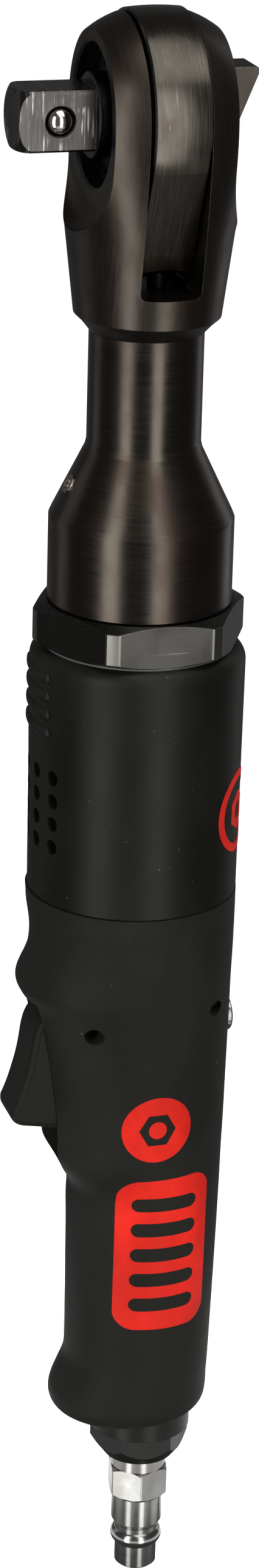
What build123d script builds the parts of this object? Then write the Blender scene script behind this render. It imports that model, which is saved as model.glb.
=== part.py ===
from build123d import *
import math
import os

# Half-inch air ratchet, heavy-duty pattern, in millimetres.
# Each piece is drawn in the tool's own frame: X is the drive axis, Z the tool's centreline, and
# they cross at the origin. The square drive and the throttle lever are on the -X side.
# save() then moves every piece so that the square's shoulder, where a socket seats, is the origin.

# ---- driving dimensions -------------------------------------------------------------------
SQUARE = 12.7                  # half-inch drive, across flats
SQUARE_LENGTH = 16.5
SHOULDER = 14.0                # from the centreline to the square's shoulder
BALL_RADIUS = 3.0
BALL_X = -21.6
BALL_PROUD = 1.2

HEAD_RADIUS = 22.2             # domed head, seen along the drive axis
LUG_FACE = 13.2                # flat outer faces of the two lugs, from the centreline
SLOT_HALF = 6.65               # slot for the yoke, half its width
SLOT_FLOOR = -35.8
LUG_BORE = 15.0                # bore in the drive-side lug
KNOB_BORE = 11.0               # bore in the knob-side lug
SPOT_RADIUS = 23.8             # spot-facing cutter about the drive axis
SPOT_RUNOUT = 4.5
BOSS_RADIUS = 8.9              # round boss behind the square
JOURNAL_FACE = -7.75           # outer face of the spindle's hub, inside the drive-side lug
PLATE_FACE = -9.05             # outer face of the cover plate
RING_FACE = -9.65              # outer face of the retaining ring
FLARE_TOP = -24.0               # widest level of the forged flare under the lugs
FLARE_Z = -42.3
NECK_TOP = -46.0
NECK_BOTTOM = -71.6
NECK_RADIUS = 12.35
CONE_BOTTOM = -86.4
BODY_RADIUS = 20.15            # gearbox
GEAR_BORE = 17.0
THREAD_RADIUS = 18.6           # head housing screws into the motor housing
THREAD_END = -121.0

YOKE_RADIUS = 22.1
YOKE_LEFT = -5.85
YOKE_RIGHT = 6.4
YOKE_END = -31.9
YOKE_TEETH = 45
YOKE_TOOTH_TIP = 15.25
YOKE_TOOTH_ROOT = 16.5
YOKE_CROWN = 0.3               # how far the rim falls away at its edges
YOKE_TAPER = 23.3              # degrees that each side of the tail leans in
HUB_RADIUS = 14.8
PAWL_PIVOT_Z = 9.4
PAWL_REACH = math.radians(38)

CRANK_OFFSET = 1.95            # throw of the crank pin
CRANK_PIN = 2.2
BUSHING_RADIUS = 3.4
CRANK_RADIUS = 7.0
RUNNING = 0.05                 # radial clearance of running fits

MODULE = 0.8
PRESSURE_ANGLE = math.radians(20)
SUN_TEETH = 12
PLANET_TEETH = 12
RING_TEETH = SUN_TEETH + 2 * PLANET_TEETH
PLANET_COUNT = 3
PLANET_ORBIT = MODULE * (SUN_TEETH + PLANET_TEETH) / 2
PLANET_PIN = 1.6
GEAR_TOP = -92.6
GEAR_BOTTOM = -101.8

NUT_TOP = -105.7
NUT_BOTTOM = -115.2
NUT_CHAMFER = 1.35
NUT_FLATS = 42.2
NUT_CORNER = 23.66

HOUSING_RADIUS = 21.0          # motor housing under the sleeve
CYLINDER_TOP = -127.0
CYLINDER_BOTTOM = -165.0
CYLINDER_BORE = 14.2
CYLINDER_OFFSET = 1.4
PLENUM_FLOOR = -175.5          # air chamber under the rear end plate
ROTOR_RADIUS = 12.6
SHAFT_RADIUS = 4.0
VANE_COUNT = 5

SLEEVE_TOP = -115.6
SLEEVE_RADIUS = 23.7
SLEEVE_EDGE = 3.6              # rounding of the sleeve's top edge
SEAM_Z = -172.7
SEAM_RADIUS = 23.35
SEAM_GROOVE = 0.35             # chamfer on the sleeve where it meets the handle
VENT_RADIUS = 1.7
VENT_PITCH = 5.35
VENT_TOP = -142.8
PAD_HEIGHTS = (-120.5, -124.6, -128.8, -133.0)   # raised grip pads over the vents
PAD_HALF = 1.6                 # half the height of a pad
PAD_PROUD = 0.55
PAD_REACH = 6.6
BADGE_Z = -152.5               # round mark on the sleeve
BADGE_TURN = -30.0
BADGE_RADIUS = 9.5

CORE_X = 5.7                   # the lower handle and the inlet sit off the centreline
CORE_RADIUS = 13.2
CORE_NECK = 19.0
HANDLE_FOOT = -305.0
FOOT_ROUND = 4.5
GUARD_Z = -194.8               # tip of the lever guard
FLARE_TIP_Z = -300.5

LEVER_PIN_X = -12.8
LEVER_PIN_Z = -201.8
LEVER_PIN_RADIUS = 2.0
LEVER_HALF = 6.4
LEVER_SLOT_HALF = 6.8
LEVER_SLOT_FLOOR = -9.2
VALVE_Z = -207.0
CROSS_PIN_X = 15.8
CROSS_PIN_Z = -198.6
CROSS_PIN_RADIUS = 1.8

COLLAR_RADIUS = 11.7
COLLAR_FOOT = -310.2
BUSHING_FOOT = -317.9
BUSHING_FLATS = 20.2
BUSHING_TURN = 53.0            # how far its hexagon is turned about the tool's axis
BUSHING_CHAMFER = 4.4          # height of the cone at its foot
BUSHING_FOOT_RADIUS = 8.4
PLUG_THREAD = 6.5
PLUG_HEX_TOP = -321.7
PLUG_HEX_FOOT = -329.1
PLUG_HEX_FLATS = 13.0
PLUG_TURN = 21.0
PLUG_SHANK = 5.95
PLUG_SHANK_FOOT = -336.6
PLUG_GROOVE = 5.2
PLUG_BEAD = 6.1
PLUG_BEAD_Z = -341.0
PLUG_NOSE_TOP = -342.9
PLUG_END = -348.8
PLUG_BORE = 3.6
PLUG_NOSE = 4.95

BADGE_DEPTH = 0.5


# ---- helpers ------------------------------------------------------------------------------
def rod_x(radius, left, right, y=0.0, z=0.0):
    """Cylinder along X."""
    return Pos((left + right) / 2, y, z) * Rot(0, 90, 0) * Cylinder(radius, right - left)


def rod_y(radius, front, back, x=0.0, z=0.0):
    """Cylinder along Y."""
    return Pos(x, (front + back) / 2, z) * Rot(90, 0, 0) * Cylinder(radius, back - front)


def rod_z(radius, low, high, x=0.0, y=0.0):
    """Cylinder along Z."""
    return Pos(x, y, (low + high) / 2) * Cylinder(radius, high - low)


def tube_z(outer, inner, low, high, x=0.0):
    """Tube along Z."""
    return rod_z(outer, low, high, x) - rod_z(inner, low - 1, high + 1, x)


def block(x_range, y_range, z_range):
    """Box between three pairs of limits."""
    middle = [(low + high) / 2 for low, high in (x_range, y_range, z_range)]
    size = [high - low for low, high in (x_range, y_range, z_range)]
    return Pos(*middle) * Box(*size)


def turned_z(points, x=0.0):
    """Solid of revolution about Z from (radius, z) points."""
    return Pos(x, 0, 0) * revolve(Plane.XZ * make_face(Polyline(*points, close=True)), Axis.Z)


def turned_x(points):
    """Solid of revolution about X from (x, radius) points."""
    return revolve(Plane.XZ * make_face(Polyline(*points, close=True)), Axis.X)


def hexagon_z(across_flats, low, high, x=0.0, turn=0.0):
    """Hexagonal prism along Z, with corners on the X axis when turn is 0."""
    face = RegularPolygon(across_flats / 2, 6, major_radius=False)
    corner_on_x = Rot(0, 0, turn) * face
    return Pos(x, 0, low) * extrude(corner_on_x, high - low)


def around(count, shape, first=0.0):
    """Copies of a shape at even angles about Z."""
    return [Rot(0, 0, first + 360 * index / count) * shape for index in range(count)]


def merged(shapes):
    """One solid from overlapping shapes."""
    result = shapes[0]
    for shape in shapes[1:]:
        result = result + shape
    return result


def polar(radius, angle):
    return (radius * math.cos(angle), radius * math.sin(angle))


def involute_outline(teeth, inner, outer, growth):
    """Gear face with a tooth centred on +X; growth widens each tooth at the pitch circle."""
    pitch = MODULE * teeth / 2
    base = pitch * math.cos(PRESSURE_ANGLE)
    half_pitch = math.pi / (2 * teeth) + growth / (2 * pitch)
    start = math.tan(PRESSURE_ANGLE) - PRESSURE_ANGLE

    def half_angle(radius):
        roll = math.acos(base / max(radius, base))
        return half_pitch + start - (math.tan(roll) - roll)

    low = max(inner, base)
    flank = [low + (outer - low) * step / 3 for step in range(4)]
    radii = flank if low == inner else [inner] + flank
    points = []
    for index in range(teeth):
        middle = 2 * math.pi * index / teeth
        points += [polar(radius, middle - half_angle(radius)) for radius in radii]
        points += [polar(radius, middle + half_angle(radius)) for radius in reversed(radii)]
    return make_face(Polyline(*points, close=True))


def coil(radius, wire, turns, length):
    """Helical spring along +Z from the origin."""
    path = Helix(pitch=length / turns, height=length, radius=radius)
    start = path @ 0
    section = Plane(origin=start, z_dir=path % 0) * Circle(wire)
    return sweep(section, path=path)


def bearing(outer, inner, low, high, ball):
    """Ball bearing about Z: outer race, inner race and balls as separate solids."""
    middle = (outer + inner) / 2
    centre = (low + high) / 2
    gap = ball * 0.62
    groove = Pos(0, 0, centre) * Torus(middle, ball)
    races = [tube_z(outer, middle + gap, low, high) - groove,
             tube_z(middle - gap, inner, low, high) - groove]
    balls = around(8, Pos(middle, 0, centre) * Sphere(ball - 0.02))
    return merged(races + balls)


# ---- head and anvil -----------------------------------------------------------------------
def head_envelope():
    """Outside of the head: dome, forged flare, neck, cone and gearbox."""
    above = block((-30, 30), (-30, 30), (0, 30))
    dome = Sphere(HEAD_RADIUS) & above
    flare = loft([Pos(0, 0, FLARE_Z) * Ellipse(15.7, 16.9),
                  Pos(0, 0, FLARE_TOP) * Ellipse(17.8, 20.2)], ruled=True)
    flare = flare + loft([Pos(0, 0, FLARE_TOP) * Ellipse(17.8, 20.2),
                          Pos(0, 0, -16.0) * Ellipse(19.7, 21.2),
                          Pos(0, 0, -8.0) * Ellipse(21.5, 21.95),
                          Circle(HEAD_RADIUS)])
    root = loft([Pos(0, 0, NECK_TOP) * Circle(NECK_RADIUS),
                 Pos(0, 0, -43.6) * Ellipse(14.3, 15.3),
                 Pos(0, 0, FLARE_Z) * Ellipse(15.7, 16.9)], ruled=True)
    turned = turned_z([(0, NECK_TOP), (NECK_RADIUS, NECK_TOP), (NECK_RADIUS, NECK_BOTTOM + 1.5),
                       (NECK_RADIUS + 0.35, NECK_BOTTOM), (BODY_RADIUS - 0.5, CONE_BOTTOM + 0.6),
                       (BODY_RADIUS, CONE_BOTTOM - 0.6), (BODY_RADIUS, NUT_TOP + 0.3),
                       (BODY_RADIUS - 0.3, NUT_TOP), (THREAD_RADIUS, NUT_TOP),
                       (THREAD_RADIUS, THREAD_END), (0, THREAD_END)])
    return dome + flare + root + turned


def spot_face():
    """Cutter that leaves the flat face of the +X lug, with its concave run-out."""
    inner = SPOT_RADIUS - SPOT_RUNOUT
    outer_x = LUG_FACE + SPOT_RUNOUT
    bend = SPOT_RUNOUT * math.sqrt(0.5)
    arc_middle = (outer_x - bend, inner + bend)
    edges = Line((LUG_FACE, 0), (LUG_FACE, inner))
    edges += ThreePointArc((LUG_FACE, inner), arc_middle, (outer_x, SPOT_RADIUS))
    edges += Line((outer_x, SPOT_RADIUS), (40, SPOT_RADIUS))
    edges += Line((40, SPOT_RADIUS), (40, 0)) + Line((40, 0), (LUG_FACE, 0))
    return revolve(Plane.XZ * make_face(edges), Axis.X)


def head_housing():
    cutter = spot_face()
    body = head_envelope() - cutter - mirror(cutter, Plane.YZ)
    slot = block((-SLOT_HALF, SLOT_HALF), (-30, 30), (SLOT_FLOOR, 30))
    slot = fillet(slot.edges().filter_by(Axis.Y).group_by(Axis.Z)[0], 1.6)
    body = body - slot
    body = body - rod_x(LUG_BORE, -20, 0)
    lug_chamfer = turned_x([(-LUG_FACE - 0.01, 0), (-LUG_FACE - 0.01, LUG_BORE + 0.5),
                            (-LUG_FACE + 0.5, LUG_BORE), (-LUG_FACE + 0.5, 0)])
    body = body - lug_chamfer - rod_x(KNOB_BORE, 0, 20)
    body = body - rod_z(9.5, -80, SLOT_FLOOR + 1)
    body = body - rod_z(12.5, -88, -79.5) - rod_z(GEAR_BORE, THREAD_END - 1, -87.2)
    groove_depth = LUG_BORE + 0.35
    groove = turned_x([(RING_FACE - 0.03, 0), (RING_FACE - 0.03, groove_depth),
                       (PLATE_FACE - 0.01, groove_depth), (PLATE_FACE - 0.01, 0)])
    return body - groove - grease_bore()


def grease_frame():
    """Place of the grease fitting, its axis square to the cone on the -X side."""
    rise = (CONE_BOTTOM - NECK_BOTTOM) / (NECK_RADIUS - BODY_RADIUS)
    slope = math.degrees(math.atan(1 / rise))
    return Pos(-16.5, 0, -79.2) * Rot(0, slope - 90, 0)


def grease_bore():
    return grease_frame() * Pos(0, 0, -2.5) * Cylinder(2.1, 10)


def grease_fitting():
    """Flush grease fitting: a ring with a sunk, bored centre."""
    body = rod_z(2.1, -3.1, 0.25) - rod_z(1.25, -0.5, 1)
    return grease_frame() * (body - rod_z(0.5, -4, 1))


def yoke_crown():
    """Solid with the yoke's crowned rim: turned round the head, then straight down both sides."""
    middle = (YOKE_LEFT + YOKE_RIGHT) / 2
    edge = YOKE_RADIUS - YOKE_CROWN
    left, right = (YOKE_LEFT + 0.4, edge), (YOKE_RIGHT - 0.4, edge)
    edges = Polyline(right, (YOKE_RIGHT, edge - 0.4), (YOKE_RIGHT, 0), (YOKE_LEFT, 0),
                     (YOKE_LEFT, edge - 0.4), left)
    edges += ThreePointArc(left, (middle, YOKE_RADIUS), right)
    face = Plane.XZ * make_face(edges)
    side = Rot(-90 - YOKE_TAPER, 0, 0) * extrude(face, -30)
    return revolve(face, Axis.X) + side + mirror(side, Plane.XZ)


def yoke():
    """Ratchet yoke: internal teeth round the anvil and a tail slotted for the drive bushing."""
    taper = math.radians(YOKE_TAPER)
    shoulder_y = YOKE_RADIUS * math.cos(taper)
    shoulder_z = -YOKE_RADIUS * math.sin(taper)
    tail_half = shoulder_y + (YOKE_END - shoulder_z) * math.tan(taper)
    disc = Circle(YOKE_RADIUS)
    tail = make_face(Polyline((-shoulder_y, shoulder_z), (shoulder_y, shoulder_z),
                              (tail_half, YOKE_END), (-tail_half, YOKE_END), close=True))
    tail = fillet(tail.vertices().group_by(Axis.Y)[0], 2.2)
    outline = disc + tail
    half_tooth = math.pi / YOKE_TEETH
    teeth = []
    for index in range(YOKE_TEETH):
        middle = 2 * half_tooth * index
        teeth += [polar(YOKE_TOOTH_TIP, middle - 0.85 * half_tooth),
                  polar(YOKE_TOOTH_ROOT, middle - 0.15 * half_tooth),
                  polar(YOKE_TOOTH_ROOT, middle + 0.15 * half_tooth),
                  polar(YOKE_TOOTH_TIP, middle + 0.85 * half_tooth)]
    outline = outline - make_face(Polyline(*teeth, close=True))
    slot_half = BUSHING_RADIUS + CRANK_OFFSET + 2.3 + 0.15
    slot = Pos(0, YOKE_END) * Rectangle(2 * slot_half, 2 * 9.2)
    slot = fillet(slot.vertices().group_by(Axis.Y)[-1], 1.5)
    plane = Plane(origin=(YOKE_LEFT, 0, 0), x_dir=(0, 1, 0), z_dir=(1, 0, 0))
    return extrude(plane * (outline - slot), YOKE_RIGHT - YOKE_LEFT) & yoke_crown()


def anvil():
    """Spindle: square drive, boss, hub with the pawl pocket, and the knob-side journal."""
    tip = -SHOULDER - SQUARE_LENGTH
    half = SQUARE / 2
    corner = half + 2.28
    square = block((tip, -10), (-half, half), (-half, half))
    edges = Line((-10, 0), (-10, corner)) + Line((-10, corner), (tip + 2.6, corner))
    edges += ThreePointArc((tip + 2.6, corner), (tip + 0.75, 7.5), (tip, 6.0))
    edges += Line((tip, 6.0), (tip, 0)) + Line((tip, 0), (-10, 0))
    square = square & revolve(Plane.XZ * make_face(edges), Axis.X)
    boss = turned_x([(-SHOULDER, 0), (-SHOULDER, BOSS_RADIUS - 0.25), (-SHOULDER + 0.25, BOSS_RADIUS),
                     (JOURNAL_FACE + 1, BOSS_RADIUS), (JOURNAL_FACE + 1, 0)])
    journal = LUG_BORE - RUNNING
    hub = turned_x([(JOURNAL_FACE, 0), (JOURNAL_FACE, journal - 0.3), (JOURNAL_FACE + 0.3, journal),
                    (-6.8, journal), (-6.8, HUB_RADIUS), (6.5, HUB_RADIUS),
                    (6.5, KNOB_BORE - RUNNING), (11.6, KNOB_BORE - RUNNING), (11.6, 0)])
    body = square + boss + hub
    ball_hole = rod_y(BALL_RADIUS + 0.06, -10, 4.6, BALL_X)
    seat_rim = Pos(BALL_X, -half, 0) * Rot(-90, 0, 0) * Cone(3.75, 3.06, 1.0)
    body = body - ball_hole - seat_rim
    body = body - rod_x(4.0 + RUNNING, -5.2, 12)
    pocket = block((-5.2, 5.2), (-11.6, 11.6), (6.2, 16))
    plunger_way = block((-2.2, 2.2), (-4.4, 4.4), (2, 6.4))
    return body - pocket - plunger_way - rod_x(1.8, -6.5, 6.5, z=PAWL_PIVOT_Z)


def pawl():
    """Double-ended pawl, drawn in the YZ plane."""
    left = polar(14.1, math.pi / 2 + PAWL_REACH)
    right = polar(14.1, math.pi / 2 - PAWL_REACH)
    heel = 7.4
    under_right = (right[0] - 0.5, right[1] - 1.9)
    under_left = (left[0] + 0.5, left[1] - 1.9)
    edges = ThreePointArc(left, (0, 13.3), right)
    edges += Polyline(right, under_right, (4.2, heel), (1.6, heel), (0, heel + 0.5), (-1.6, heel),
                      (-4.2, heel), under_left, left)
    plane = Plane(origin=(-4.8, 0, 0), x_dir=(0, 1, 0), z_dir=(1, 0, 0))
    return extrude(plane * make_face(edges), 9.6) - rod_x(1.85, -6, 6, z=PAWL_PIVOT_Z)


def pawl_pin():
    return rod_x(1.8, -6.5, 6.5, z=PAWL_PIVOT_Z)


def detent_ball():
    return Pos(BALL_X, -SQUARE / 2 - BALL_PROUD + BALL_RADIUS, 0) * Sphere(BALL_RADIUS)


def ball_spring():
    """Ball spring at its pressed length, seated at the bottom of the hole."""
    return Pos(BALL_X, 4.2, 0) * Rot(90, 0, 0) * coil(2.1, 0.35, 4, 3.8)


def reverse_knob():
    """Reverse knob: disc in the lug's bore, thumb tab, and the stem into the spindle."""
    disc = turned_x([(11.8, 0), (11.8, KNOB_BORE - 0.1), (14.0, KNOB_BORE - 0.1),
                     (14.6, KNOB_BORE - 0.7), (14.6, 0)])
    stem = rod_x(4.0, -4.8, 12)
    tab = Polyline((14.0, -6.6), (15.4, -6.0), (21.4, 8.4), (21.4, 9.9), (14.0, 9.9), close=True)
    wedge = extrude(Plane.XZ * make_face(tab), 4.7, both=True)
    wedge = fillet(wedge.edges().filter_by(Axis.Y).group_by(Axis.X)[-1], 0.5)
    return disc + stem + wedge - rod_z(1.6, -1.5, 5)


def pawl_plunger():
    """Round-nosed plunger in the knob's stem, under the pawl."""
    return rod_z(1.6, -1.4, 5.1) + Pos(0, 0, 5.1) * Sphere(1.6)


def cover_plate():
    """Plate that closes the drive-side lug, with two holes for a pin spanner."""
    bore = BOSS_RADIUS + RUNNING
    plate = turned_x([(PLATE_FACE, bore), (PLATE_FACE, LUG_BORE - 0.4), (PLATE_FACE + 0.35, LUG_BORE),
                      (PLATE_FACE + 1.05, LUG_BORE), (PLATE_FACE + 1.05, bore)])
    for turn in (28, 208):
        plate = plate - Rot(-turn, 0, 0) * rod_x(1.25, PLATE_FACE - 1, PLATE_FACE + 0.8, z=12.0)
    return plate


def retaining_ring():
    """Spring ring in front of the cover plate, open at the foot."""
    back = PLATE_FACE - 0.03
    ring = turned_x([(RING_FACE, 13.7), (RING_FACE, LUG_BORE + 0.3), (back, LUG_BORE + 0.3), (back, 13.7)])
    ring = ring - block((RING_FACE - 1, back + 1), (-1.8, 1.8), (-16, -12))
    for side in (-1, 1):
        ring = ring + rod_x(1.25, RING_FACE, back, side * 2.9, -13.3)
    for side in (-1, 1):
        ring = ring - rod_x(0.55, RING_FACE - 1, back + 1, side * 2.9, -13.2)
    return ring


def thrust_washer():
    """Washer between the spindle's hub and the cover plate."""
    outer, inner = JOURNAL_FACE - 0.22, JOURNAL_FACE - 0.02
    return turned_x([(outer, 10.0), (outer, 14.6), (inner, 14.6), (inner, 10.0)])


# ---- crank and gears ----------------------------------------------------------------------
def crankshaft():
    """Crank pin, shaft and planet carrier in one piece."""
    shaft = turned_z([(0, -36.6), (8.4, -36.6), (8.8, -37.0), (8.8, -40.0), (CRANK_RADIUS, -41.0),
                      (CRANK_RADIUS, -87.8), (14.4, -87.8), (14.4, -91.6), (0, -91.6)])
    pin = rod_z(CRANK_PIN, -37, -24.4, CRANK_OFFSET)
    sockets = around(PLANET_COUNT, rod_z(PLANET_PIN, -95, -88.4, PLANET_ORBIT))
    body = shaft + pin
    for socket in sockets:
        body = body - socket
    return body


def drive_bushing():
    """Barrel-shaped bushing on the crank pin."""
    low, high, waist = -33.4, -25.2, BUSHING_RADIUS
    edges = Line((CRANK_PIN, low), (waist - 0.6, low))
    edges += ThreePointArc((waist - 0.6, low), (waist, (low + high) / 2), (waist - 0.6, high))
    edges += Line((waist - 0.6, high), (CRANK_PIN, high)) + Line((CRANK_PIN, high), (CRANK_PIN, low))
    return Pos(CRANK_OFFSET, 0, 0) * revolve(Plane.XZ * make_face(edges), Axis.Z)


def planet_pins():
    return merged(around(PLANET_COUNT, rod_z(PLANET_PIN, -102.6, -88.4, PLANET_ORBIT)))


def planet_gear(index):
    pitch = MODULE * PLANET_TEETH / 2
    half_tooth = 180 / PLANET_TEETH
    face = Rot(0, 0, half_tooth) * involute_outline(PLANET_TEETH, pitch - 0.95, pitch + 0.64, -0.08)
    gear = Pos(PLANET_ORBIT, 0, GEAR_BOTTOM) * extrude(face, GEAR_TOP - GEAR_BOTTOM)
    gear = gear - rod_z(PLANET_PIN + RUNNING, -110, -80, PLANET_ORBIT)
    return Rot(0, 0, 360 * index / PLANET_COUNT) * gear


def ring_gear():
    pitch = MODULE * RING_TEETH / 2
    half_tooth = 180 / RING_TEETH
    teeth = Rot(0, 0, half_tooth) * involute_outline(RING_TEETH, pitch - 0.44, pitch + 1.0, 0.08)
    blank = rod_z(GEAR_BORE, -103.0, -92.2)
    return blank - Pos(0, 0, -104) * extrude(teeth, 14)


def gear_plate():
    """Plate under the gears that keeps the grease out of the motor."""
    return tube_z(GEAR_BORE, 6.2, -105.2, -103.2)


def needle_bearing():
    """Needle bearing in the neck: drawn cup with a ring of needles."""
    shell = tube_z(9.5, 9.0, -66, -46)
    cage = around(14, rod_z(0.93, -65, -47, 8.02))
    return merged([shell] + cage)


def carrier_bearing():
    return bearing(12.5, CRANK_RADIUS + RUNNING, -86.6, -80.6, 1.6)


# ---- air motor ----------------------------------------------------------------------------
def front_end_plate():
    plate = rod_z(GEAR_BORE, CYLINDER_TOP, THREAD_END) + rod_z(12.6, THREAD_END - 1, -113.4)
    plate = plate - rod_z(10.5, -120.6, -110) - rod_z(SHAFT_RADIUS + 0.1, -130, -110)
    return plate - cylinder_pin()


def rear_end_plate():
    plate = rod_z(GEAR_BORE, -171.2, CYLINDER_BOTTOM)
    plate = plate - rod_z(9.5, -175, -166.6) - rod_z(SHAFT_RADIUS + 0.1, -175, -160)
    plate = plate - rod_z(1.8, -175, -160, -13.4) - rod_z(1.8, -175, -160, -11.0, 7.6)
    return plate - cylinder_pin()


def cylinder():
    """Motor cylinder: the bore is eccentric, with exhaust ports on the -X side."""
    body = rod_z(GEAR_BORE, CYLINDER_BOTTOM, CYLINDER_TOP)
    body = body - rod_z(CYLINDER_BORE, CYLINDER_BOTTOM - 1, CYLINDER_TOP + 1, CYLINDER_OFFSET)
    for level in range(4):
        height = CYLINDER_TOP - 8 - level * 7
        body = body - block((-20, -10), (-5, 5), (height - 1.5, height + 1.5))
    return body - cylinder_pin()


def rotor():
    """Rotor with the sun pinion cut on the front end of its shaft."""
    top = CYLINDER_TOP - 0.15
    foot = CYLINDER_BOTTOM + 0.15
    pitch = MODULE * SUN_TEETH / 2
    sun_face = involute_outline(SUN_TEETH, pitch - 0.95, pitch + 0.64, -0.08)
    sun = Pos(0, 0, -102.4) * extrude(sun_face, 9.9)
    body = rod_z(ROTOR_RADIUS, foot, top) + rod_z(SHAFT_RADIUS, -172.6, -102.0)
    for slot in around(VANE_COUNT, block((6.0, 14), (-0.8, 0.8), (foot - 1, top + 1)), 18):
        body = body - slot
    return body + sun


def vanes():
    """Vanes, drawn home in their slots."""
    vane = block((6.4, ROTOR_RADIUS - 0.1), (-0.72, 0.72), (CYLINDER_BOTTOM + 0.3, CYLINDER_TOP - 0.3))
    return merged(around(VANE_COUNT, vane, 18))


def front_bearing():
    return bearing(10.5, SHAFT_RADIUS + RUNNING, -120.6, -114.6, 1.9)


def rear_bearing():
    return bearing(9.5, SHAFT_RADIUS + RUNNING, -171.1, -166.6, 1.6)


def cylinder_pin():
    """Dowel that lines up the cylinder and its two end plates."""
    return rod_z(1.0, -168.4, -123.6, 0, 15.7)


# ---- motor housing, nut and grips ---------------------------------------------------------
def air_passages():
    """Inlet bore, valve bore and the passage up to the rear end plate."""
    inlet = rod_z(4.6, -294, VALVE_Z, CORE_X) + rod_z(9.4, -310, -292.0, CORE_X)
    valve = rod_x(6.4, -20, 12.4, z=VALVE_Z) + rod_x(7.5, 12.4, 30, z=VALVE_Z)
    feed = rod_z(2.6, VALVE_Z, PLENUM_FLOOR + 1, -3.0)
    return inlet + valve + feed


def handle_core():
    """Lower part of the casting, which the handle shell fits over."""
    neck = rod_z(CORE_NECK, -196, SEAM_Z)
    stalk = rod_z(CORE_RADIUS, -303.5, -190, CORE_X)
    valve_boss = rod_x(8.6, LEVER_SLOT_FLOOR, 5, z=VALVE_Z)
    return neck + stalk + valve_boss


def motor_housing():
    """Casting: motor barrel, exhaust window, valve chamber and the core of the handle."""
    barrel = rod_z(HOUSING_RADIUS, SEAM_Z, NUT_BOTTOM)
    body = barrel + handle_core()
    body = body - rod_z(THREAD_RADIUS, THREAD_END, -100) - rod_z(GEAR_BORE, -171.2, -110)
    body = body - rod_z(15.5, PLENUM_FLOOR, -170)
    body = body - block((-30, -14), (-9.5, 9.5), (-162.5, -137.5))
    body = body - silencer_space() - air_passages()
    return body - rod_y(CROSS_PIN_RADIUS, -30, 30, CROSS_PIN_X, CROSS_PIN_Z)


def silencer_space():
    """Curved recess round the exhaust window."""
    ring = tube_z(HOUSING_RADIUS + 1, 19.6, -163.5, -136.5)
    return ring & block((-30, -8), (-30, 30), (-170, -130))


def silencer():
    """Felt behind the vents."""
    ring = tube_z(HOUSING_RADIUS - 0.05, 19.7, -163.3, -136.7)
    return ring & block((-30, -8.2), (-30, 30), (-170, -130))


def clamp_nut():
    prism = hexagon_z(NUT_FLATS, NUT_BOTTOM, NUT_TOP)
    flat = NUT_FLATS / 2
    chamfer = turned_z([(0, NUT_BOTTOM), (flat - 0.3, NUT_BOTTOM), (NUT_CORNER, NUT_BOTTOM + NUT_CHAMFER),
                        (NUT_CORNER, NUT_TOP - NUT_CHAMFER), (flat - 0.3, NUT_TOP), (0, NUT_TOP)])
    return (prism & chamfer) - rod_z(THREAD_RADIUS, NUT_BOTTOM - 1, NUT_TOP + 1)


def vent_angles():
    return [180 + offset for offset in (-24, -8, 8, 24)]


def grip_pad(height):
    """Raised pad: a rounded rib that lies round the -X side of the sleeve."""
    low, high = height - PAD_HALF, height + PAD_HALF
    inner, rim = HOUSING_RADIUS + 0.5, SLEEVE_RADIUS - 0.2
    edges = Line((inner, low), (rim, low))
    edges += ThreePointArc((rim, low), (SLEEVE_RADIUS + PAD_PROUD, height), (rim, high))
    edges += Line((rim, high), (inner, high)) + Line((inner, high), (inner, low))
    rib = revolve(Plane.XZ * make_face(edges), Axis.Z)
    reach = block((-30, -15), (-PAD_REACH, PAD_REACH), (low, high))
    for side in (-PAD_REACH, PAD_REACH):
        reach = reach + rod_x(PAD_HALF, -30, -15, side, height)
    return rib & reach


def grip_ridge():
    """Thin moulded ridge in front of the pads."""
    ring = tube_z(SLEEVE_RADIUS + 0.2, HOUSING_RADIUS + 0.5, -129.1, -128.3)
    return ring & (Rot(0, 0, 217) * block((20, 30), (-2.6, 2.6), (-130, -127)))


def sleeve_cone(growth):
    """Solid cone of the sleeve's outside, grown by a distance."""
    foot, top = SEAM_RADIUS + growth, SLEEVE_RADIUS + growth
    shoulder_z = SLEEVE_TOP - SLEEVE_EDGE
    return turned_z([(0, SEAM_Z), (foot, SEAM_Z), (top, shoulder_z), (0, shoulder_z)])


def grip_sleeve():
    """Upper sleeve: rounded top edge, vents and raised grip pads on the -X side."""
    outer, inner, edge = SLEEVE_RADIUS, HOUSING_RADIUS, SLEEVE_EDGE
    shoulder = (outer, SLEEVE_TOP - edge)
    lip = (inner + 0.1, SLEEVE_TOP)
    foot_edge = (SEAM_RADIUS, SEAM_Z + SEAM_GROOVE)
    edges = Line((inner, SEAM_Z), (SEAM_RADIUS - SEAM_GROOVE, SEAM_Z))
    edges += Line((SEAM_RADIUS - SEAM_GROOVE, SEAM_Z), foot_edge) + Line(foot_edge, shoulder)
    edges += ThreePointArc(shoulder, (outer - edge * 0.27, SLEEVE_TOP - edge * 0.28), lip)
    edges += Line(lip, (inner, SLEEVE_TOP)) + Line((inner, SLEEVE_TOP), (inner, SEAM_Z))
    body = revolve(Plane.XZ * make_face(edges), Axis.Z)
    for height in PAD_HEIGHTS:
        body = body + grip_pad(height)
    body = body + grip_ridge()
    for angle in vent_angles():
        for row in range(4):
            height = VENT_TOP - row * VENT_PITCH
            body = body - Rot(0, 0, angle) * rod_x(VENT_RADIUS, 15, 30, z=height)
    return body - side_badge_space()


def ease(z, top, foot):
    """Smooth step from 0 at the top height to 1 at the foot height."""
    share = min(max((top - z) / (top - foot), 0.0), 1.0)
    return share * share * (3 - 2 * share)


def guard(z):
    """How far the lever guard stands out: round above its tip, sharper below it."""
    reach = z - GUARD_Z
    if reach > 0:
        return 3.2 * math.exp(-(reach / 5.0) ** 2)
    return 3.2 * math.exp(-(math.sqrt(reach ** 2 + 1) - 1) / 4.2)


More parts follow.
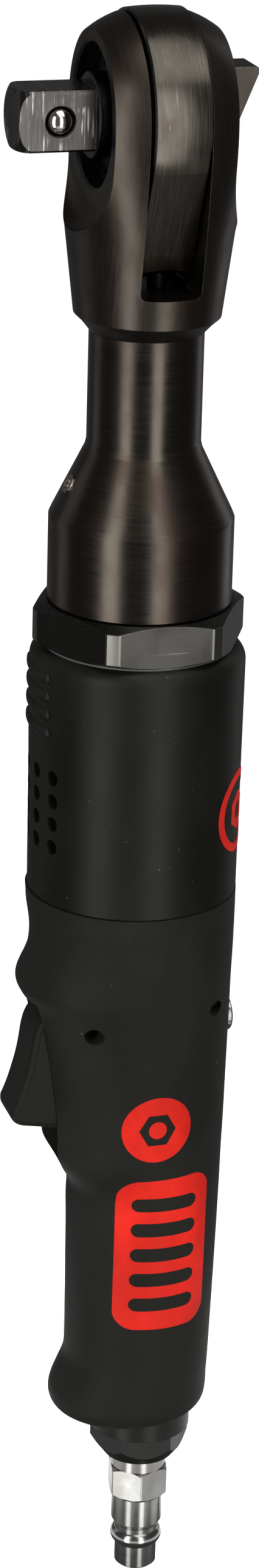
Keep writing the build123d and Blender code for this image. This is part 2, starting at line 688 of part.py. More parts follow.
def handle_section(z, inset=0.0):
    """Oval section of the handle: lever guard, lever cheeks, cut-in below them and flared foot."""
    left = -23.8 + 1.2 * ease(z, SEAM_Z, -184) + 3.5 * ease(z, -196, -232)
    left += 6.2 * ease(z, -235, -246) + 0.3 * ease(z, -246, -280)
    left -= guard(z) + 3.7 * ease(z, -289, FLARE_TIP_Z)
    share = (SEAM_Z - z) / (SEAM_Z - HANDLE_FOOT)
    right = 23.45 - 0.8 * share - 1.9 * share ** 2
    half_x = (right - left) / 2
    depth = 23.4 - 3.9 * ease(z, SEAM_Z, -226) - 2.0 * ease(z, -226, -248) - 0.9 * ease(z, -248, -296)
    half_y = min(depth, half_x - 0.05)
    return Pos((left + right) / 2, 0, z) * Ellipse(half_x - inset, half_y - inset)


def handle_levels():
    """Heights of the sections, closer together where the outline bends; one is at the guard's tip."""
    step = (SEAM_Z - GUARD_Z) / 7
    upper = [SEAM_Z - step * count for count in range(25)]
    lower = [-255.0, -265.0, -275.0, -284.0, -288.0, -291.0, -294.0, -297.0]
    return upper + lower


def handle_envelope():
    sections = [handle_section(z) for z in handle_levels()]
    for degrees in (0, 22, 44, 64, 80):
        turn = math.radians(degrees)
        height = HANDLE_FOOT + FOOT_ROUND * (1 - math.sin(turn))
        sections.append(handle_section(height, FOOT_ROUND * (1 - math.cos(turn))))
    return loft(sections)


def lever_slot():
    """Slot in the -X side for the lever."""
    tall = block((-40, LEVER_SLOT_FLOOR), (-LEVER_SLOT_HALF, LEVER_SLOT_HALF), (-236, -197.6))
    round_foot = rod_x(LEVER_SLOT_HALF, -40, LEVER_SLOT_FLOOR, z=-236)
    return tall + round_foot


def handle():
    """Lower grip shell over the casting."""
    body = handle_envelope()
    body = body - handle_core() - rod_z(11.8, -310, -303.5, CORE_X)
    body = body - lever_slot() - rod_y(LEVER_PIN_RADIUS, -30, 30, LEVER_PIN_X, LEVER_PIN_Z)
    body = body - rod_y(CROSS_PIN_RADIUS, -30, 30, CROSS_PIN_X, CROSS_PIN_Z)
    body = body - rod_x(4.7, 10, 30, z=VALVE_Z) - rod_x(7.5, 10, 21.0, z=VALVE_Z)
    return body - round_badge_space() - panel_badge_space()


# ---- lever and valve ----------------------------------------------------------------------
def throttle_lever():
    """Trigger lever on its pin, curved for the finger."""
    hub_x, hub_z = LEVER_PIN_X, LEVER_PIN_Z
    hub_top = (hub_x - 1.92, hub_z + 2.56)
    hub_foot = (hub_x - 1.92, hub_z - 2.56)
    brow = (-19.6, -200.0)
    nose = (-28.2, -224.0)
    chin = (-25.4, -228.0)
    edges = Line(hub_top, brow)
    edges += Spline(brow, (-23.0, -204.0), (-24.3, -210.5), (-26.0, -217.9), nose)
    edges += Spline(nose, (-28.0, -226.2), chin)
    edges += Polyline(chin, (-17.2, -229.4), (-16.2, -228.4), (-16.0, hub_z - 2.6), hub_foot)
    edges += ThreePointArc(hub_foot, (hub_x + 3.2, hub_z), hub_top)
    profile = Plane.XZ * make_face(edges)
    body = extrude(profile, LEVER_HALF, both=True)
    sides = body.edges().filter_by(lambda edge: abs(edge.center().Y) > LEVER_HALF - 0.1)
    body = fillet(sides.filter_by(lambda edge: edge.center().X < -20), 2.0)
    return body - rod_y(LEVER_PIN_RADIUS + RUNNING, -20, 20, hub_x, hub_z)


def lever_pin():
    return rod_y(LEVER_PIN_RADIUS, -12, 12, LEVER_PIN_X, LEVER_PIN_Z)


def cross_pin():
    return rod_y(CROSS_PIN_RADIUS, -12, 12, CROSS_PIN_X, CROSS_PIN_Z)


def valve_bushing():
    """Seat and guide of the throttle valve, with a waist and ports to the motor feed."""
    body = turned_x([(-9.2, 3.4), (-9.2, 6.4), (-6.2, 6.4), (-6.2, 5.0), (0.4, 5.0), (0.4, 6.4), (3.4, 6.4),
                     (3.4, 3.2), (-5.0, 3.2), (-5.0, 1.65), (-7.2, 1.65), (-7.2, 3.4)])
    ports = rod_z(1.4, -8, 8, -2.4) + rod_y(1.4, -8, 8, -2.4)
    return Pos(0, 0, VALVE_Z) * (body - ports)


def valve_stem():
    """Throttle valve: push rod from the lever and the sealing head."""
    body = turned_x([(-15.85, 0), (-15.7, 0.6), (-15.3, 1.1), (-14.7, 1.5), (-14.2, 1.6), (2.4, 1.6),
                     (3.5, 3.0), (3.5, 4.2), (5.6, 4.2), (5.6, 2.0), (7.4, 2.0), (7.4, 0)])
    return Pos(0, 0, VALVE_Z) * body


def valve_seal():
    """Seal ring round the push rod, in the mouth of the bushing."""
    ring = turned_x([(-9.1, 1.66), (-9.1, 3.4), (-7.2, 3.4), (-7.2, 1.66)])
    return Pos(0, 0, VALVE_Z) * ring


def valve_spring():
    """Valve spring at its pressed length, seated on the cap."""
    return Pos(12.2, 0, VALVE_Z) * Rot(0, -90, 0) * coil(3.1, 0.45, 4, 5.2)


def valve_cap():
    """Cap that closes the valve bore, locked by the cross pin; its slotted head shows outside."""
    body = turned_x([(12.6, 0), (12.6, 7.5), (20.9, 7.5), (20.9, 4.1), (23.6, 4.1), (24.0, 3.7), (24.0, 0)])
    body = Pos(0, 0, VALVE_Z) * body
    slot = block((23.0, 25), (-0.6, 0.6), (VALVE_Z - 5, VALVE_Z + 5))
    return body - slot - rod_y(CROSS_PIN_RADIUS + 0.02, -30, 30, CROSS_PIN_X, CROSS_PIN_Z)


# ---- inlet --------------------------------------------------------------------------------
def inlet_bushing():
    """Black inlet bushing: round collar, hexagon below it, thread up into the casting."""
    collar = rod_z(COLLAR_RADIUS, COLLAR_FOOT, HANDLE_FOOT + 0.6, CORE_X)
    prism = hexagon_z(BUSHING_FLATS, BUSHING_FOOT, COLLAR_FOOT + 1, CORE_X, BUSHING_TURN)
    corner = BUSHING_FLATS / math.sqrt(3)
    prism_top = COLLAR_FOOT + 1
    round_edge = turned_z([(0, BUSHING_FOOT), (BUSHING_FOOT_RADIUS, BUSHING_FOOT),
                           (corner, BUSHING_FOOT + BUSHING_CHAMFER), (corner, prism_top),
                           (0, prism_top)], CORE_X)
    thread = rod_z(9.4, -305, -292.2, CORE_X)
    bore = rod_z(5.0, -320, -290, CORE_X) + rod_z(PLUG_THREAD + 0.08, -320, -304.5, CORE_X)
    seat = rod_z(7.75, BUSHING_FOOT - 1, BUSHING_FOOT + 1.5, CORE_X)
    return collar + (prism & round_edge) + thread - bore - seat


def inlet_screen():
    """Fine strainer held in the top of the bushing."""
    mesh = rod_z(4.9, -301.6, -300.8, CORE_X)
    for step_x in range(-2, 3):
        for step_y in range(-2, 3):
            if math.hypot(step_x, step_y) < 2.4:
                mesh = mesh - rod_z(0.45, -303, -300, CORE_X + 1.7 * step_x, 1.7 * step_y)
    return mesh


def sealing_ring():
    """Seal round the plug's thread, in the counterbore of the bushing."""
    return tube_z(7.7, PLUG_THREAD + 0.04, BUSHING_FOOT + 0.1, BUSHING_FOOT + 1.45, CORE_X)


def air_plug():
    """Nipple for a DN 7.2 quick coupler, threaded into the bushing."""
    groove_top = (PLUG_GROOVE, PLUG_SHANK_FOOT - 1.3)
    groove_foot = (PLUG_GROOVE, PLUG_BEAD_Z + 1.9)
    nose_top = (PLUG_NOSE, PLUG_NOSE_TOP)
    inside_top = (PLUG_BORE, -306)
    edges = Polyline(inside_top, (PLUG_THREAD, -306), (PLUG_THREAD, PLUG_HEX_FOOT),
                     (PLUG_SHANK, PLUG_HEX_FOOT - 0.6), (PLUG_SHANK, PLUG_SHANK_FOOT),
                     groove_top, groove_foot)
    edges += ThreePointArc(groove_foot, (PLUG_BEAD, PLUG_BEAD_Z), nose_top)
    edges += Polyline(nose_top, (PLUG_NOSE, PLUG_END + 0.6), (4.3, PLUG_END), (PLUG_BORE, PLUG_END),
                      inside_top)
    body = Pos(CORE_X, 0, 0) * revolve(Plane.XZ * make_face(edges), Axis.Z)
    prism = hexagon_z(PLUG_HEX_FLATS, PLUG_HEX_FOOT, PLUG_HEX_TOP, CORE_X, PLUG_TURN)
    flat, corner = PLUG_HEX_FLATS / 2 + 0.2, PLUG_HEX_FLATS / 2 + 0.9
    chamfer = turned_z([(0, PLUG_HEX_FOOT), (flat, PLUG_HEX_FOOT), (corner, PLUG_HEX_FOOT + 0.6),
                        (corner, PLUG_HEX_TOP - 0.6), (flat, PLUG_HEX_TOP), (0, PLUG_HEX_TOP)], CORE_X)
    return body + (prism & chamfer) - rod_z(PLUG_BORE, -350, -300, CORE_X)


# ---- inlaid marks -------------------------------------------------------------------------
def side_badge_space():
    """Round mark on the sleeve: a ring round a hexagon with a hole."""
    ring = rod_x(BADGE_RADIUS, 20, 25) - rod_x(BADGE_RADIUS - 1.9, 19, 26)
    hexagon = Plane(origin=(20, 0, 0), z_dir=(1, 0, 0)) * RegularPolygon(4.6, 6)
    centre = extrude(hexagon, 5) - rod_x(2.1, 19, 26)
    mark = Rot(0, 0, BADGE_TURN) * Pos(0, 0, BADGE_Z) * (ring + centre)
    return mark - sleeve_cone(-BADGE_DEPTH)


def side_badge():
    return side_badge_space() & sleeve_cone(0.1)


def round_badge_space():
    disc = rod_y(8.15, -30, -10, 2.0, -225.4)
    hexagon = Rot(90, 0, 0) * RegularPolygon(4.3, 6)
    inner = Pos(2.0, -10, -225.4) * extrude(hexagon, 20)
    bore = rod_y(2.1, -30, -10, 2.0, -225.4)
    return (disc - (inner - bore)) - inlay_floor(-212.0, -238.0)


def panel_badge_space():
    width, height = 21.8, 38.7
    corner = 4.5
    centre_x, centre_z = 5.0, -258.0
    outline = RectangleRounded(width, height, corner)
    slots = [Pos(0, offset) * SlotOverall(width - 6.5, 3.4) for offset in (-12.8, -6.4, 0, 6.4, 12.8)]
    for slot in slots:
        outline = outline - slot
    panel = extrude(Plane(origin=(centre_x, -30, centre_z), x_dir=(1, 0, 0), z_dir=(0, 1, 0)) * outline, 20)
    straight_above = extrude(handle_section(-248.0, BADGE_DEPTH), 14)
    return panel - inlay_floor(-248.0, -264.0, -282.0) - straight_above


def inlay_floor(*heights):
    """Handle envelope drawn in by the depth of the inlays, through a few of its sections."""
    return loft([handle_section(z, BADGE_DEPTH) for z in heights])


def round_badge():
    return round_badge_space() & handle_envelope()


def panel_badge():
    return panel_badge_space() & handle_envelope()


# ---- export -------------------------------------------------------------------------------
def save(name, shape):
    """Write one piece, moved so that the square's shoulder is at x = 0."""
    export_step(Pos(SHOULDER, 0, 0) * shape, f"parts/{name}.step")


PIECES = {
    "head_housing": head_housing,
    "yoke": yoke,
    "anvil": anvil,
    "pawl": pawl,
    "pawl_pin": pawl_pin,
    "detent_ball": detent_ball,
    "ball_spring": ball_spring,
    "reverse_knob": reverse_knob,
    "pawl_plunger": pawl_plunger,
    "cover_plate": cover_plate,
    "retaining_ring": retaining_ring,
    "thrust_washer": thrust_washer,
    "grease_fitting": grease_fitting,
    "crankshaft": crankshaft,
    "drive_bushing": drive_bushing,
    "planet_pins": planet_pins,
    "ring_gear": ring_gear,
    "gear_plate": gear_plate,
    "needle_bearing": needle_bearing,
    "carrier_bearing": carrier_bearing,
    "front_end_plate": front_end_plate,
    "rear_end_plate": rear_end_plate,
    "cylinder": cylinder,
    "rotor": rotor,
    "vanes": vanes,
    "front_bearing": front_bearing,
    "rear_bearing": rear_bearing,
    "cylinder_pin": cylinder_pin,
    "motor_housing": motor_housing,
    "silencer": silencer,
    "clamp_nut": clamp_nut,
    "grip_sleeve": grip_sleeve,
    "handle": handle,
    "throttle_lever": throttle_lever,
    "lever_pin": lever_pin,
    "cross_pin": cross_pin,
    "valve_bushing": valve_bushing,
    "valve_stem": valve_stem,
    "valve_seal": valve_seal,
    "valve_spring": valve_spring,
    "valve_cap": valve_cap,
    "inlet_bushing": inlet_bushing,
    "inlet_screen": inlet_screen,
    "sealing_ring": sealing_ring,
    "air_plug": air_plug,
    "side_badge": side_badge,
    "round_badge": round_badge,
    "panel_badge": panel_badge,
}

os.makedirs("parts", exist_ok=True)
for name, make in PIECES.items():
    save(name, make())
for number in range(PLANET_COUNT):
    save(f"planet_{number + 1}", planet_gear(number))
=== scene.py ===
import math

import bpy
from mathutils import Matrix, Vector


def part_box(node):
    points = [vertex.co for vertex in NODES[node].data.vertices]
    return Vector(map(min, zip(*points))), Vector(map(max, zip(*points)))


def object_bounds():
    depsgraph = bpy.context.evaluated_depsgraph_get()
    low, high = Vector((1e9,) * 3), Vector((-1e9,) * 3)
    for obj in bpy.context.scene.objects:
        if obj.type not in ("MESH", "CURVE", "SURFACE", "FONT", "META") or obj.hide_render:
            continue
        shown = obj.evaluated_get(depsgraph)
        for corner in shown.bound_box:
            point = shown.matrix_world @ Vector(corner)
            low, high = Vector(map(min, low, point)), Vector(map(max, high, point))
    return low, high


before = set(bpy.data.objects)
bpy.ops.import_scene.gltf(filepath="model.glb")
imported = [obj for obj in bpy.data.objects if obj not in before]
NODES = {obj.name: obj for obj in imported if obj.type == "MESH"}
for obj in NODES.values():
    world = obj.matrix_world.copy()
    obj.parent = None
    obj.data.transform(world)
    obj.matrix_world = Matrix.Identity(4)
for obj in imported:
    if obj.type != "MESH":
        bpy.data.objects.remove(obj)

CAD_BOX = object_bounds()
MM = 0.001

# The frame's origin is the shoulder of the square drive, so the tool's centreline lies at +X from
# it. It is read from the nut, which is centred on it.
NUT_LOW, NUT_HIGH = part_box("clamp_nut")
TOOL_X = (NUT_LOW.x + NUT_HIGH.x) / 2
HEAD_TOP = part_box("head_housing")[1].z


# ---- shader helpers -----------------------------------------------------------------------
EDGE_SAMPLES = 6
EDGE_TURN = (0.02, 0.25)       # 1 minus the cosine of the turn, where an edge starts and is full
WEAR_FADE = 0.2 * MM           # width over which wear beyond a radius comes in


class Shader:
    """Builds the node graph of one procedural material."""

    def __init__(self, name):
        self.material = bpy.data.materials.new(name)
        self.material.use_nodes = True
        self.tree = self.material.node_tree
        self.surface = self.tree.nodes["Principled BSDF"]
        self.coordinates = self.add("ShaderNodeTexCoord").outputs["Object"]

    def add(self, kind, inputs=None, **settings):
        node = self.tree.nodes.new(kind)
        for key, value in settings.items():
            setattr(node, key, value)
        for key, value in (inputs or {}).items():
            self.put(node.inputs[key], value)
        return node

    def put(self, socket, value):
        """Link an output to a socket, or set a plain number or colour on it."""
        if isinstance(value, bpy.types.NodeSocket):
            self.tree.links.new(value, socket)
        elif isinstance(value, (tuple, list)) and len(value) == 3 and socket.type == "RGBA":
            socket.default_value = (*value, 1.0)
        else:
            socket.default_value = value

    def stretch(self, scale, offset=(0.0, 0.0, 0.0), turn=(0.0, 0.0, 0.0)):
        """Object coordinates moved, turned and scaled; the scale is in cycles per metre."""
        moved = self.add("ShaderNodeMapping", {"Vector": self.coordinates, "Location": offset})
        turned = self.add("ShaderNodeMapping", {"Vector": moved.outputs[0], "Rotation": turn,
                                                "Scale": scale})
        return turned.outputs[0]

    def noise(self, vector, scale=1.0, detail=3.0, roughness=0.55):
        node = self.add("ShaderNodeTexNoise", {"Vector": vector, "Scale": scale, "Detail": detail,
                                               "Roughness": roughness})
        return node.outputs[0]

    def calc(self, operation, first, second=0.0):
        node = self.add("ShaderNodeMath", {0: first, 1: second}, operation=operation)
        return node.outputs[0]

    def span(self, value, low, high, to_low=0.0, to_high=1.0):
        """Remap a range smoothly, clamped at both ends."""
        node = self.add("ShaderNodeMapRange",
                        {"Value": value, "From Min": low, "From Max": high, "To Min": to_low,
                         "To Max": to_high}, interpolation_type="SMOOTHSTEP")
        return node.outputs[0]

    def blend(self, share, first, second):
        """Mix two colours."""
        node = self.add("ShaderNodeMix", {0: share, 6: first, 7: second}, data_type="RGBA")
        return node.outputs[2]

    def part(self, axis):
        """One of the object coordinates: 0, 1 or 2 for X, Y or Z."""
        node = self.add("ShaderNodeSeparateXYZ", {0: self.coordinates})
        return node.outputs[axis]

    def bump(self, height, distance, below):
        """Bump over an already rounded normal."""
        node = self.add("ShaderNodeBump", {"Height": height, "Distance": distance, "Strength": 1.0,
                                           "Normal": below})
        return node.outputs[0]

    def rounded(self, radius, samples=4):
        """The normal as if every edge had a small radius."""
        return self.add("ShaderNodeBevel", {"Radius": radius}, samples=samples).outputs[0]

    def edge_mask(self, radius):
        """1 on edges and corners, found by comparing a rounded normal with the true one."""
        true_normal = self.add("ShaderNodeNewGeometry").outputs["Normal"]
        dot = self.add("ShaderNodeVectorMath",
                       {0: self.rounded(radius, EDGE_SAMPLES), 1: true_normal},
                       operation="DOT_PRODUCT")
        return self.span(self.calc("SUBTRACT", 1.0, dot.outputs["Value"]), *EDGE_TURN)

    def far_from_axis(self, radius):
        """1 beyond a radius about the tool's centreline."""
        across = self.calc("SUBTRACT", self.part(0), TOOL_X)
        squares = [self.calc("MULTIPLY", part, part) for part in (across, self.part(1))]
        distance = self.calc("SQRT", self.calc("ADD", squares[0], squares[1]))
        return self.span(distance, radius - WEAR_FADE, radius)

    def finish(self, colour, roughness, normal=None, metallic=0.0, **plain):
        self.put(self.surface.inputs["Base Color"], colour)
        self.put(self.surface.inputs["Roughness"], roughness)
        self.surface.inputs["Metallic"].default_value = metallic
        if normal is not None:
            self.put(self.surface.inputs["Normal"], normal)
        for key, value in plain.items():
            self.surface.inputs[key.replace("_", " ")].default_value = value
        return self.material


BRUSH_FINE = 3600.0            # brush lines, in cycles per metre across them
BRUSH_LONG = 110.0             # and along them
GRAIN = 5200.0                 # moulded grain
SPECK = 1100.0                 # dust specks
STEEL_CHIPS = (900, 900, 900)  # breaks in the worn edges of steel
BLACK_CHIPS = (700, 700, 700)  # and of black coatings
STEEL_ROUNDING = 0.12 * MM
BLACK_ROUNDING = 0.15 * MM
DUST_COLOUR = (0.16, 0.155, 0.145)


def brush_scale(direction):
    """Scales that stretch noise into lines round Z, round X, along Z or along X."""
    return {"round_z": (BRUSH_LONG, BRUSH_LONG, BRUSH_FINE),
            "round_x": (BRUSH_FINE, BRUSH_LONG, BRUSH_LONG),
            "along_z": (BRUSH_FINE, BRUSH_FINE, BRUSH_LONG),
            "along_x": (BRUSH_LONG, BRUSH_FINE, BRUSH_FINE)}[direction]


def scratches(shader, direction, amount):
    """Sparse fine scratches, close to one direction, as a mask that comes and goes in patches."""
    skewed = shader.stretch(brush_scale(direction), (3 * MM, 0, 0), (0.06, 0.04, 0.03))
    lines = shader.noise(skewed, 0.7, 1.0)
    patches = shader.noise(shader.stretch((160, 160, 160), (0, 3 * MM, 0)), 1.0, 2.0)
    sharp = shader.span(lines, 0.72 - amount, 0.76 - amount)
    return shader.calc("MULTIPLY", sharp, shader.span(patches, 0.42, 0.58))


def specks(shader, share):
    """Tiny isolated specks, as a mask."""
    spots = shader.noise(shader.stretch((SPECK, SPECK, SPECK), (0, 0, 7 * MM)), 1.0, 1.0)
    return shader.span(spots, 0.82 - share, 0.86 - share)


def brushed_steel(name, colour, roughness, directions, edge=None, edge_colour=None, stain=None,
                  grain_depth=0.0015, scratch=0.0, scratch_colour=None, split=None,
                  upper_roughness=0.0, variation=0.2, wear_radius=None):
    """Brushed or ground steel: directional lines, stains, scratches and edges worn bright.

    split is the pair of heights between which the brushing changes from the first direction to
    the second, and wear_radius is where the corners beyond a radius are worn bright.
    """
    shader = Shader(name)
    fields = [shader.noise(shader.stretch(brush_scale(way), (-TOOL_X, 0, 0)), 1.0, 4.0, 0.6)
              for way in directions]
    lines = fields[0]
    if split is not None:
        share = shader.span(shader.part(2), *split)
        mix = shader.add("ShaderNodeMix", {0: share, 2: fields[0], 3: fields[1]},
                         data_type="FLOAT")
        lines = mix.outputs[0]
    cloud = shader.noise(shader.stretch((90, 90, 60), (3 * MM, 0, 0)), 1.0, 3.0)
    dark = tuple(part * (1 - variation) for part in colour)
    light = tuple(part * (1 + variation) for part in colour)
    tint = shader.blend(shader.span(lines, 0.3, 0.7), dark, light)
    if stain is not None:
        tint = shader.blend(shader.span(cloud, 0.42, 0.68), tint, stain)
    rough = shader.calc("ADD", shader.span(lines, 0.25, 0.75, roughness - 0.03, roughness + 0.03),
                        shader.span(cloud, 0.35, 0.7, -0.03, 0.05))
    if split is not None:
        rough = shader.calc("ADD", rough, shader.calc("MULTIPLY", share, upper_roughness))
    if scratch:
        tint = shader.blend(scratches(shader, directions[0], scratch), tint, scratch_colour)
    if wear_radius is not None:
        tint = shader.blend(shader.far_from_axis(wear_radius), tint, edge_colour)
    if edge is not None:
        chips = shader.noise(shader.stretch(STEEL_CHIPS), 1.0, 3.0)
        mask = shader.calc("MULTIPLY", shader.edge_mask(edge), shader.span(chips, 0.40, 0.58))
        tint = shader.blend(mask, tint, edge_colour)
    height = shader.calc("ADD", lines, shader.calc("MULTIPLY", cloud, 0.4))
    normal = shader.bump(height, grain_depth * MM, shader.rounded(STEEL_ROUNDING))
    return shader.finish(tint, rough, normal, 1.0)


def plain_plastic(name, colour, roughness, grain, gloss, smudge=0.06, edge=None,
                  edge_colour=None, sheen=0.0, grain_scale=1.0, dust=0.0):
    """Moulded or coated surface: fine spark-eroded grain, smudges, dust and rubbed edges."""
    shader = Shader(name)
    grain_field = shader.noise(shader.stretch((GRAIN, GRAIN, GRAIN)), grain_scale, 2.0, 0.6)
    cloud = shader.noise(shader.stretch((55, 55, 35), (0, 5 * MM, 0)), 1.0, 4.0, 0.6)
    light = tuple(part * 1.25 for part in colour)
    dark = tuple(part * 0.85 for part in colour)
    tint = shader.blend(shader.span(cloud, 0.35, 0.7), dark, light)
    fine = shader.span(grain_field, 0.3, 0.7, roughness - 0.04, roughness + 0.04)
    rough = shader.calc("ADD", fine, shader.span(cloud, 0.4, 0.65, -smudge, smudge))
    if edge is not None:
        chips = shader.noise(shader.stretch(BLACK_CHIPS), 1.0, 3.0)
        mask = shader.calc("MULTIPLY", shader.edge_mask(edge),
                           shader.span(chips, 0.4, 0.62, 0, 0.6))
        tint = shader.blend(mask, tint, edge_colour)
    if dust:
        tint = shader.blend(specks(shader, dust), tint, DUST_COLOUR)
    normal = shader.bump(grain_field, grain * MM, shader.rounded(BLACK_ROUNDING))
    plain = {"Specular_IOR_Level": gloss}
    if sheen:
        plain["Sheen_Weight"] = sheen
        plain["Sheen_Roughness"] = 0.5
    return shader.finish(tint, rough, normal, 0.0, **plain)


# ---- materials ----------------------------------------------------------------------------
NECK_TOP = (HEAD_TOP - 72 * MM, HEAD_TOP - 62 * MM)   # brushed round Z below it, round X above
RUBBED_BLACK = (0.02, 0.02, 0.017)                    # edges of the black coatings


def head_steel():
    return brushed_steel("head_steel", (0.062, 0.053, 0.044), 0.27, ("round_z", "round_x"),
                         edge=0.00018, edge_colour=(0.14, 0.125, 0.11),
                         stain=(0.052, 0.039, 0.032), split=NECK_TOP, upper_roughness=0.09,
                         variation=0.1)


def yoke_steel():
    return brushed_steel("yoke_steel", (0.072, 0.065, 0.055), 0.25, ("round_x",), edge=0.00018,
                         edge_colour=(0.36, 0.34, 0.31), stain=(0.056, 0.047, 0.040), scratch=0.03,
                         scratch_colour=(0.12, 0.11, 0.10), variation=0.25)


def spindle_steel():
    return brushed_steel("spindle_steel", (0.060, 0.057, 0.054), 0.30, ("round_x",), edge=0.0003,
                         edge_colour=(0.30, 0.28, 0.26), stain=(0.048, 0.044, 0.041), scratch=0.12,
                         scratch_colour=(0.30, 0.29, 0.28), variation=0.35)


def knob_steel():
    return brushed_steel("knob_steel", (0.085, 0.074, 0.065), 0.30, ("along_x",), edge=0.0002,
                         edge_colour=(0.26, 0.24, 0.22), stain=(0.055, 0.046, 0.040))


def ball_steel():
    return brushed_steel("ball_steel", (0.62, 0.58, 0.51), 0.14, ("round_x",), grain_depth=0.0005,
                         variation=0.06)


def plate_steel():
    return brushed_steel("plate_steel", (0.020, 0.018, 0.016), 0.40, ("round_x",), edge=0.00012,
                         edge_colour=(0.06, 0.055, 0.05))


def nut_steel():
    corner = NUT_HIGH.x - TOOL_X
    return brushed_steel("nut_steel", (0.052, 0.050, 0.046), 0.33, ("along_x",), edge=0.0004,
                         edge_colour=(0.17, 0.164, 0.148), stain=(0.040, 0.038, 0.034),
                         scratch=0.03, scratch_colour=(0.11, 0.105, 0.10), variation=0.1,
                         wear_radius=corner - 0.1 * MM)


def bearing_steel():
    return brushed_steel("bearing_steel", (0.55, 0.55, 0.54), 0.18, ("round_z",),
                         grain_depth=0.0008, variation=0.08)


def gear_steel():
    return brushed_steel("gear_steel", (0.33, 0.32, 0.31), 0.32, ("round_z",), edge=0.0001,
                         edge_colour=(0.5, 0.5, 0.48))


def spring_steel():
    return brushed_steel("spring_steel", (0.30, 0.29, 0.28), 0.28, ("along_x",), variation=0.15)


def fitting_steel():
    return brushed_steel("fitting_steel", (0.42, 0.38, 0.33), 0.28, ("round_z",), edge=0.0001,
                         edge_colour=(0.6, 0.56, 0.50), variation=0.12)


def casting():
    return plain_plastic("casting", (0.10, 0.10, 0.098), 0.5, grain=0.03, gloss=0.5,
                         grain_scale=0.35)


def sleeve_black():
    return plain_plastic("sleeve_black", (0.0070, 0.0068, 0.0051), 0.46, grain=0.006, gloss=0.20,
                         smudge=0.03, edge=0.0003, edge_colour=RUBBED_BLACK, dust=0.03)


def handle_black():
    return plain_plastic("handle_black", (0.0148, 0.0144, 0.0114), 0.60, grain=0.010, gloss=0.12,
                         sheen=0.025, smudge=0.03, edge=0.0003, edge_colour=RUBBED_BLACK,
                         dust=0.02)


def lever_black():
    return plain_plastic("lever_black", (0.0120, 0.0117, 0.0092), 0.52, grain=0.006, gloss=0.12,
                         sheen=0.02, smudge=0.05, edge=0.0004, edge_colour=RUBBED_BLACK,
                         dust=0.02)


def red_inlay():
    return plain_plastic("red_inlay", (0.80, 0.022, 0.012), 0.50, grain=0.008, gloss=0.15,
                         smudge=0.05)


def bushing_black():
    return plain_plastic("bushing_black", (0.0075, 0.0074, 0.0058), 0.40, grain=0.004, gloss=0.22,
                         smudge=0.04, edge=0.0003, edge_colour=(0.03, 0.03, 0.027))


def plug_steel():
    return brushed_steel("plug_steel", (0.33, 0.332, 0.325), 0.17, ("round_z",), edge=0.0002,
                         edge_colour=(0.50, 0.50, 0.49), stain=(0.28, 0.272, 0.255),
                         grain_depth=0.0006, variation=0.04)


def bronze():
    return brushed_steel("bronze", (0.52, 0.33, 0.16), 0.38, ("round_z",),
                         stain=(0.36, 0.21, 0.10))


def seal_rubber():
    return plain_plastic("seal_rubber", (0.014, 0.014, 0.014), 0.62, grain=0.02, gloss=0.3)


def felt():
    return plain_plastic("felt", (0.012, 0.012, 0.011), 0.95, grain=0.10, gloss=0.1, sheen=0.2,
                         grain_scale=0.5)


def vane_resin():
    return plain_plastic("vane_resin", (0.13, 0.07, 0.03), 0.55, grain=0.02, gloss=0.4)


FINISHES = (head_steel, yoke_steel, spindle_steel, knob_steel, ball_steel, plate_steel, nut_steel,
            bearing_steel, gear_steel, spring_steel, fitting_steel, casting, sleeve_black,
            handle_black, lever_black, red_inlay, bushing_black, plug_steel, bronze, seal_rubber,
            felt, vane_resin)


def dress_nodes():
    """Give every CAD node the finish of its record slot."""
    made = {build.__name__: build() for build in FINISHES}
    for node in NODES.values():
        for holder in node.material_slots:
            holder.material = made[holder.material.name.split(".")[0]]


# ---- floor, light and camera --------------------------------------------------------------
FLOOR_DROP = 0.085             # floor below the plug's nose
FLOOR_HALF = 40.0
WHITE = (1.0, 1.0, 1.0)


def pale_floor():
    """White light table; only the camera sees it, and the bounce light stands for its glow."""
    height = CAD_BOX[0].z - FLOOR_DROP
    square = ((-1, -1), (1, -1), (1, 1), (-1, 1))
    corners = [(x * FLOOR_HALF, y * FLOOR_HALF, height) for x, y in square]
    mesh = bpy.data.meshes.new("floor")
    mesh.from_pydata(corners, [], [(0, 1, 2, 3)])
    floor = bpy.data.objects.new("floor", mesh)
    bpy.context.scene.collection.objects.link(floor)
    shader = Shader("floor_white")
    patch = shader.noise(shader.stretch((2, 2, 2)), 1.0, 2.0)
    shade = shader.blend(patch, (0.93, 0.93, 0.93), (0.96, 0.96, 0.96))
    shader.finish(shade, 0.8)
    shader.put(shader.surface.inputs["Emission Color"], WHITE)
    shader.surface.inputs["Emission Strength"].default_value = 1.0
    mesh.materials.append(shader.material)
    floor.visible_glossy = False
    floor.visible_diffuse = False


def aim(thing, place, target, roll=0.0):
    """Put a light or camera at a place, looking at a target, rolled about its line of sight."""
    sight = (Vector(target) - Vector(place)).normalized()
    turn = sight.to_track_quat("-Z", "Y").to_matrix().to_4x4()
    thing.matrix_world = Matrix.Translation(place) @ turn @ Matrix.Rotation(roll, 4, "Z")


def softbox(name, place, target, width, height, radiance):
    """Rectangular area light with an even face."""
    light = bpy.data.lights.new(name, "AREA")
    light.shape = "RECTANGLE"
    light.size = width
    light.size_y = height
    light.energy = radiance * 4.0 * width * height
    lamp = bpy.data.objects.new(name, light)
    bpy.context.scene.collection.objects.link(lamp)
    aim(lamp, place, target)
    lamp.visible_camera = False
    return lamp


def strip(name, azimuth, distance, low, high, half_angle, radiance):
    """Upright softbox; azimuth is measured from the front, positive towards +X."""
    turn = math.radians(azimuth)
    level = (low + high) / 2
    place = (TOOL_X + distance * math.sin(turn), -distance * math.cos(turn), level)
    width = 2 * distance * math.tan(math.radians(half_angle))
    softbox(name, place, (TOOL_X, 0, level), width, high - low, radiance)


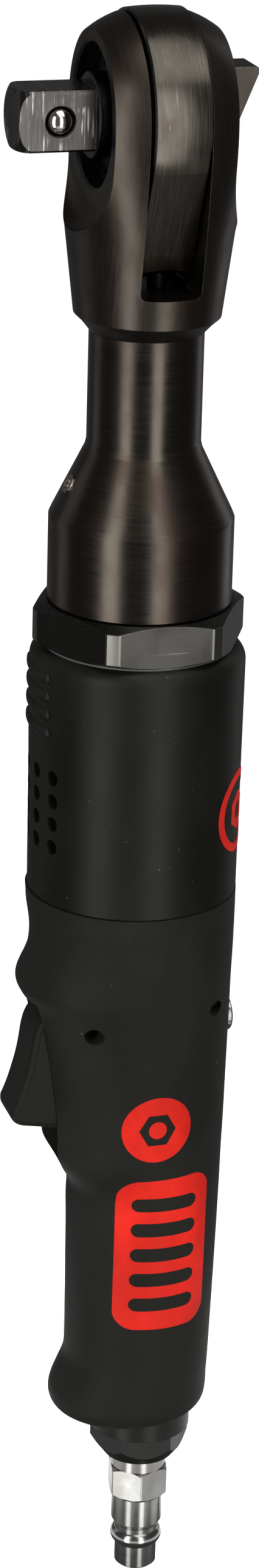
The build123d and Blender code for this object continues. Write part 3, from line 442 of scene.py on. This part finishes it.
FRONT_SPAN = (-0.95, 0.73)     # heights of the two front strips
BACK_SPAN = (-0.62, 0.9)       # and of the two behind the tool
BOUNCE_Z = CAD_BOX[0].z - FLOOR_DROP + 0.01
CARD_STEP = 60                 # the cards that light the plug stand all round it, edge to edge
CARD_SPAN = (BOUNCE_Z, CAD_BOX[0].z - 0.005)
AMBIENT = 0.09


def lamps():
    strip("strip_left", -53, 1.0, *FRONT_SPAN, half_angle=10, radiance=3.4)
    strip("strip_right", 9, 1.0, *FRONT_SPAN, half_angle=9.5, radiance=3.3)
    strip("strip_back_left", -128, 1.1, *BACK_SPAN, half_angle=10, radiance=0.3)
    strip("strip_back_right", 118, 1.1, *BACK_SPAN, half_angle=10, radiance=0.4)
    softbox("overhead", (0.15, -0.42, 1.0), (TOOL_X, 0, 0), 0.86, 1.0, 2.2)
    softbox("bounce", (TOOL_X, -0.45, BOUNCE_Z), (TOOL_X, -0.45, 0), 0.60, 0.36, 0.4)
    for azimuth in range(-165, 180, CARD_STEP):
        strip("plug_card", azimuth, 0.15, *CARD_SPAN, half_angle=CARD_STEP / 2, radiance=0.8)


def background():
    """White to the camera, and a faint even light to everything else."""
    world = bpy.data.worlds.new("studio")
    bpy.context.scene.world = world
    world.use_nodes = True
    tree = world.node_tree
    ambient = tree.nodes["Background"]
    white = tree.nodes.new("ShaderNodeBackground")
    for node, strength in ((ambient, AMBIENT), (white, 1.0)):
        node.inputs["Color"].default_value = (*WHITE, 1.0)
        node.inputs["Strength"].default_value = strength
    path = tree.nodes.new("ShaderNodeLightPath")
    either = tree.nodes.new("ShaderNodeMixShader")
    tree.links.new(path.outputs["Is Camera Ray"], either.inputs[0])
    tree.links.new(ambient.outputs[0], either.inputs[1])
    tree.links.new(white.outputs[0], either.inputs[2])
    tree.links.new(either.outputs[0], tree.nodes["World Output"].inputs["Surface"])
    bpy.context.scene.view_settings.view_transform = "Standard"


CAMERA_AZIMUTH = math.radians(-17)
CAMERA_HEIGHT = math.radians(21)
CAMERA_ROLL = math.radians(1.6)
CAMERA_DISTANCE = 0.875
CAMERA_LENS = 90.84            # in mm, on a sensor 36 mm long
CAMERA_TARGET = (TOOL_X - 1.0 * MM, 0, -0.1493)


def camera():
    """Long portrait frame, a little to the drive side and from above."""
    data = bpy.data.cameras.new("camera")
    data.lens = CAMERA_LENS
    data.sensor_width = 36.0
    data.clip_end = 200.0
    eye = bpy.data.objects.new("camera", data)
    bpy.context.scene.collection.objects.link(eye)
    target = Vector(CAMERA_TARGET)
    level = math.cos(CAMERA_HEIGHT)
    back = Vector((math.sin(CAMERA_AZIMUTH) * level, -math.cos(CAMERA_AZIMUTH) * level,
                   math.sin(CAMERA_HEIGHT)))
    aim(eye, target + back * CAMERA_DISTANCE, target, CAMERA_ROLL)
    bpy.context.scene.camera = eye


dress_nodes()
pale_floor()
lamps()
background()
camera()

bpy.context.view_layer.update()
